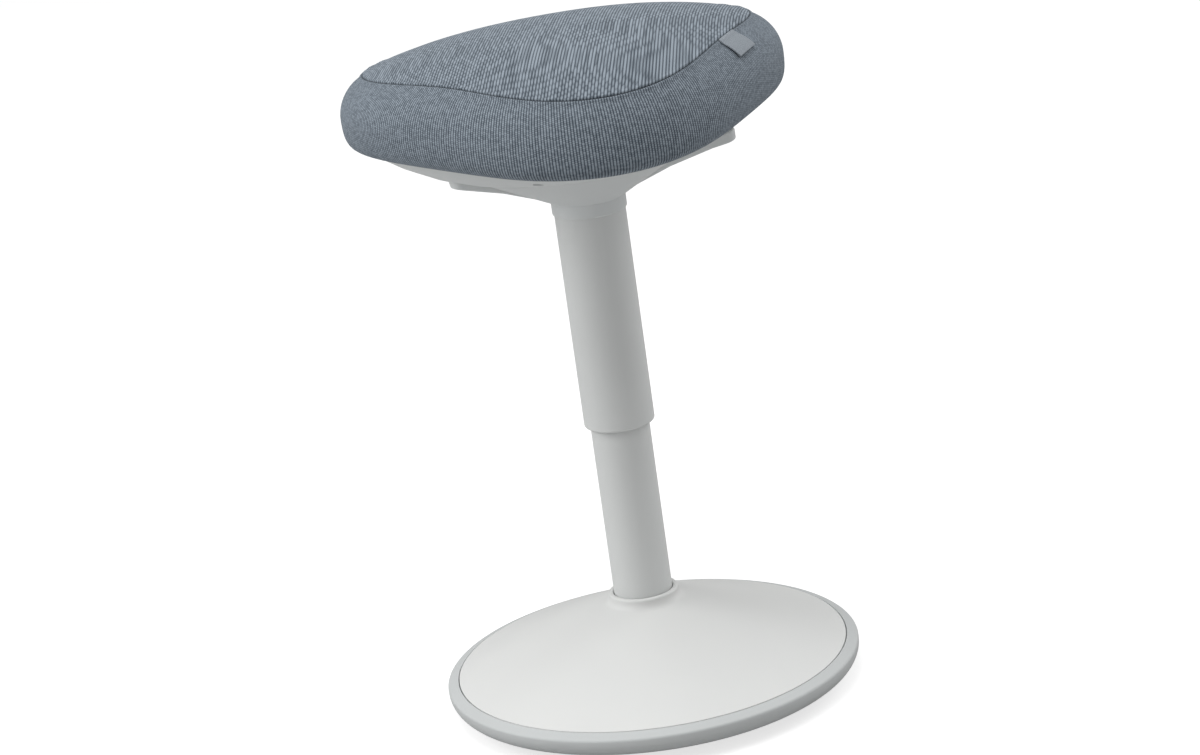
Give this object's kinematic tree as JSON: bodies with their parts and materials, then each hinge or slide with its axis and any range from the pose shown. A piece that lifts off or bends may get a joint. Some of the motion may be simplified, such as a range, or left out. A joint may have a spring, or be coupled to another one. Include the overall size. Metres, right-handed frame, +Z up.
{
  "type": "wobble stool",
  "caption": "Wobble stool: round weighted base on a rocking sole, telescopic gas column and bean-shaped padded seat with a release lever on both sides.",
  "frame": {"origin": "centre of the sole's flat pad on the floor, under the column's axis", "axes": "+Z up along the column, -Y towards the seat's narrow nose, +X to the sitter's side with the tab"},
  "size_m": [0.374, 0.3621, 0.5832],
  "materials": {
    "rubber_sole": "matt moulded rubber",
    "moulded_tray": "fine spark texture",
    "soft_rim": "soft matt elastomer",
    "cast_weight": "rough cast, painted",
    "moulded_cover": "fine satin texture",
    "coated_tube": "satin powder coat",
    "plain_steel": "zinc plated",
    "bearing_steel": "ground",
    "chromed_rod": "ground and plated",
    "black_cylinder": "satin black enamel",
    "bush_plastic": "natural acetal",
    "moulded_housing": "fine satin texture",
    "moulded_lever": "fine satin texture",
    "zinc_fastener": "zinc plated",
    "seat_board": "pressed plywood",
    "foam": "cut polyurethane foam",
    "seat_fabric": "ribbed knitted polyester, slate blue-grey",
    "label_textile": "plain folded ribbon"
  },
  "bodies": {
    "base": {"base_sole": "rubber_sole", "base_tray": "moulded_tray", "base_ring": "soft_rim", "base_weight": "cast_weight", "base_cover": "moulded_cover", "cover_screws": "zinc_fastener", "base_flange": "plain_steel", "flange_bolts": "zinc_fastener", "lower_tube": "coated_tube", "tube_floor": "plain_steel", "guide_bush": "bush_plastic", "lower_race": "bearing_steel", "bearing_cage": "bush_plastic", "bearing_balls": "bearing_steel"},
    "rod": {"upper_race": "bearing_steel", "piston_rod": "chromed_rod", "piston": "bush_plastic", "bump_stop": "rubber_sole", "rod_clip": "plain_steel", "clip_washer": "zinc_fastener"},
    "carriage": {"gas_cylinder": "black_cylinder", "cylinder_gland": "bush_plastic", "sleeve": "coated_tube", "sleeve_collar": "moulded_housing", "seat_bracket": "plain_steel", "rocker_pin": "zinc_fastener", "lever_housing": "moulded_housing", "pan_bolts": "zinc_fastener", "tee_nuts": "zinc_fastener", "seat_pan": "seat_board", "seat_shell": "moulded_housing", "shell_screws": "zinc_fastener", "seat_foam": "foam", "cover_top": "seat_fabric", "cover_side": "seat_fabric", "label_tab": "label_textile"},
    "lever": {"release_lever": "moulded_lever"},
    "rocker": {"valve_rocker": "moulded_lever"},
    "button": {"valve_button": "plain_steel"}
  },
  "joints": [
    {"name": "seat_swivel", "type": "hinge", "parent": "base", "child": "rod", "pos_m": [0, 0, 0.041], "axis": [0, 0, 1], "continuous": true},
    {"name": "height_slide", "type": "slide", "parent": "rod", "child": "carriage", "axis": [0, 0, 1], "range_m": [-0.12, 0.05]},
    {"name": "lever_lift", "type": "slide", "parent": "carriage", "child": "lever", "axis": [0, 0, 1], "range_m": [0, 0.004], "stiffness_N_per_m": 1500, "springref_m": -0.002},
    {"name": "rocker_turn", "type": "hinge", "parent": "carriage", "child": "rocker", "pos_m": [0, 0.013, 0.4829], "axis": [1, 0, 0], "range_deg": [0, 13.5]},
    {"name": "button_press", "type": "slide", "parent": "carriage", "child": "button", "axis": [0, 0, -1], "range_m": [0, 0.0031]}
  ],
  "couplings": [
    {"joint": "rocker_turn", "follows": "lever_lift", "rad_per_m": 58.824},
    {"joint": "button_press", "follows": "lever_lift", "ratio": 0.7647}
  ]
}
